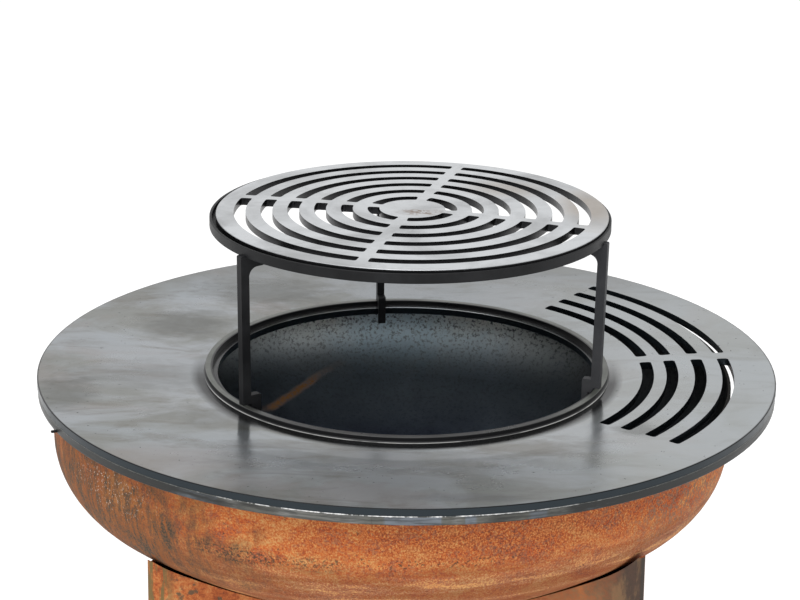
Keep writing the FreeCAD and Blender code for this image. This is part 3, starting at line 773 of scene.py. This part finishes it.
print("materials set")


# burr left by the cutter under the plate's rim; its thin bright broken line is a painted highlight, white
# only in a patch at the front

rimBurr = {
    "radius": 0.4991,
    "level": 0.9396,
    "size": 0.00065,
    "uneven": 0.45,      # share of its size that comes and goes along the rim
    "waves": ((97, 0.3), (211, 1.9), (389, 4.0), (611, 2.2)),    # count around the rim, phase
    "waveHeight": 2.6,   # the waves' sum is divided by this
    "steps": 1800,
    "sides": 8,
    # white: the painted highlight
    "colour": (0.9, 0.9, 0.9),
    "gap": (0.10, 0.105, 0.10),
    "broken": dict(scale=22, detail=5, rough=0.7, stretch=(1, 1, 0)),
    "brokenRange": (0.46, 0.52),
    "paintedShineAt": dict(middle=(-0.02, -0.50, 0.94), reach=(0.27, 0.30, 0.30)),
    "rough": (0.3, 0.7, 0.3, 0.5),
    "metal": 0.5,
    "bump": dict(depth=0.0004, strength=0.2),
}


def burrSteel(name, look):
    material, shader, tree, coords = startMaterial(name)
    broken = pattern(tree, coords["Object"], **look["broken"])
    paintedShine = patch(tree, coords["Object"], look["paintedShineAt"], broken)
    # white pieces of the line in the front patch: painted highlight
    paintedGlintMask = calc(tree, "MULTIPLY", spread(tree, broken, *look["brokenRange"]), paintedShine)
    colour = blend(tree, paintedGlintMask, look["gap"], look["colour"])
    shader.inputs["Metallic"].default_value = look["metal"]
    finishShader(tree, shader, colour, spread(tree, broken, *look["rough"]), broken, look["bump"])
    return material


def makeRimBurr(look):
    # a ring of small round section: point(turn, side) = rim circle + section circle whose
    # size swings with a sum of sines of the turn
    turn = np.linspace(0.0, 2.0 * math.pi, look["steps"], endpoint=False)
    side = np.linspace(0.0, 2.0 * math.pi, look["sides"], endpoint=False)
    waves = sum(np.sin(turn * count + phase) for count, phase in look["waves"])
    size = look["size"] * (1.0 + look["uneven"] * waves / look["waveHeight"])
    turnGrid, sideGrid = np.meshgrid(turn, side, indexing="ij")
    sizeGrid = np.repeat(size[:, None], look["sides"], axis=1)
    reach = look["radius"] + sizeGrid * np.cos(sideGrid)
    points = np.stack([
        reach * np.cos(turnGrid), reach * np.sin(turnGrid), look["level"] + sizeGrid * np.sin(sideGrid),
    ], axis=-1).reshape(-1, 3)
    row = np.arange(look["steps"])[:, None] * look["sides"]
    nextRow = np.roll(np.arange(look["steps"]), -1)[:, None] * look["sides"]
    column = np.arange(look["sides"])[None, :]
    nextColumn = np.roll(np.arange(look["sides"]), -1)[None, :]
    faces = np.stack([row + column, nextRow + column, nextRow + nextColumn, row + nextColumn], axis=-1)
    mesh = bpy.data.meshes.new("rim_burr")
    mesh.from_pydata(points.tolist(), [], faces.reshape(-1, 4).tolist())
    mesh.shade_smooth()
    mesh.materials.append(burrSteel("burrSteel", look))
    burr = bpy.data.objects.new("rim_burr", mesh)
    bpy.context.scene.collection.objects.link(burr)
    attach(burr, "plate")


makeRimBurr(rimBurr)
print("rim burr made")


# floor and light

studioLook = {
    "floorSize": 60.0,
    "floorColour": (0.93, 0.93, 0.93),
    "floorRough": 0.95,
    "floorShine": 0.0,
    "glowColour": (1.0, 1.0, 1.0),
    "floorGlow": 0.25,
    "sky": (1.0, 1.0, 1.0),
    "skyStrength": 0.85,
    "lampPlace": (-0.6, -1.5, 3.6),
    "lampTilt": (28.0, -12.0, 0.0),     # degrees
    "lampSize": 3.0,
    "lampPower": 60.0,
}


def makeFloor(look):
    half = look["floorSize"] / 2.0
    mesh = bpy.data.meshes.new("studioFloor")
    corners = [(-half, -half, 0.0), (half, -half, 0.0), (half, half, 0.0), (-half, half, 0.0)]
    mesh.from_pydata(corners, [], [(0, 1, 2, 3)])
    floor = bpy.data.objects.new("studioFloor", mesh)
    bpy.context.scene.collection.objects.link(floor)
    material, shader = startMaterial("floorPaper")[:2]
    shader.inputs["Base Color"].default_value = (*look["floorColour"], 1.0)
    shader.inputs["Roughness"].default_value = look["floorRough"]
    shader.inputs["Specular IOR Level"].default_value = look["floorShine"]
    shader.inputs["Emission Color"].default_value = (*look["glowColour"], 1.0)
    shader.inputs["Emission Strength"].default_value = look["floorGlow"]
    mesh.materials.append(material)


def makeLights(look):
    world = bpy.data.worlds.new("studioSky")
    world.use_nodes = True
    background = world.node_tree.nodes["Background"]
    background.inputs["Color"].default_value = (*look["sky"], 1.0)
    background.inputs["Strength"].default_value = look["skyStrength"]
    bpy.context.scene.world = world
    lampData = bpy.data.lights.new("overheadSoftbox", "AREA")
    lampData.shape = "RECTANGLE"
    lampData.size = look["lampSize"]
    lampData.size_y = look["lampSize"]
    lampData.energy = look["lampPower"]
    lamp = bpy.data.objects.new("overheadSoftbox", lampData)
    lamp.location = look["lampPlace"]
    lamp.rotation_euler = [math.radians(tilt) for tilt in look["lampTilt"]]
    bpy.context.scene.collection.objects.link(lamp)


makeFloor(studioLook)
makeLights(studioLook)
bpy.context.scene.view_settings.view_transform = "Standard"
print("studio ready")
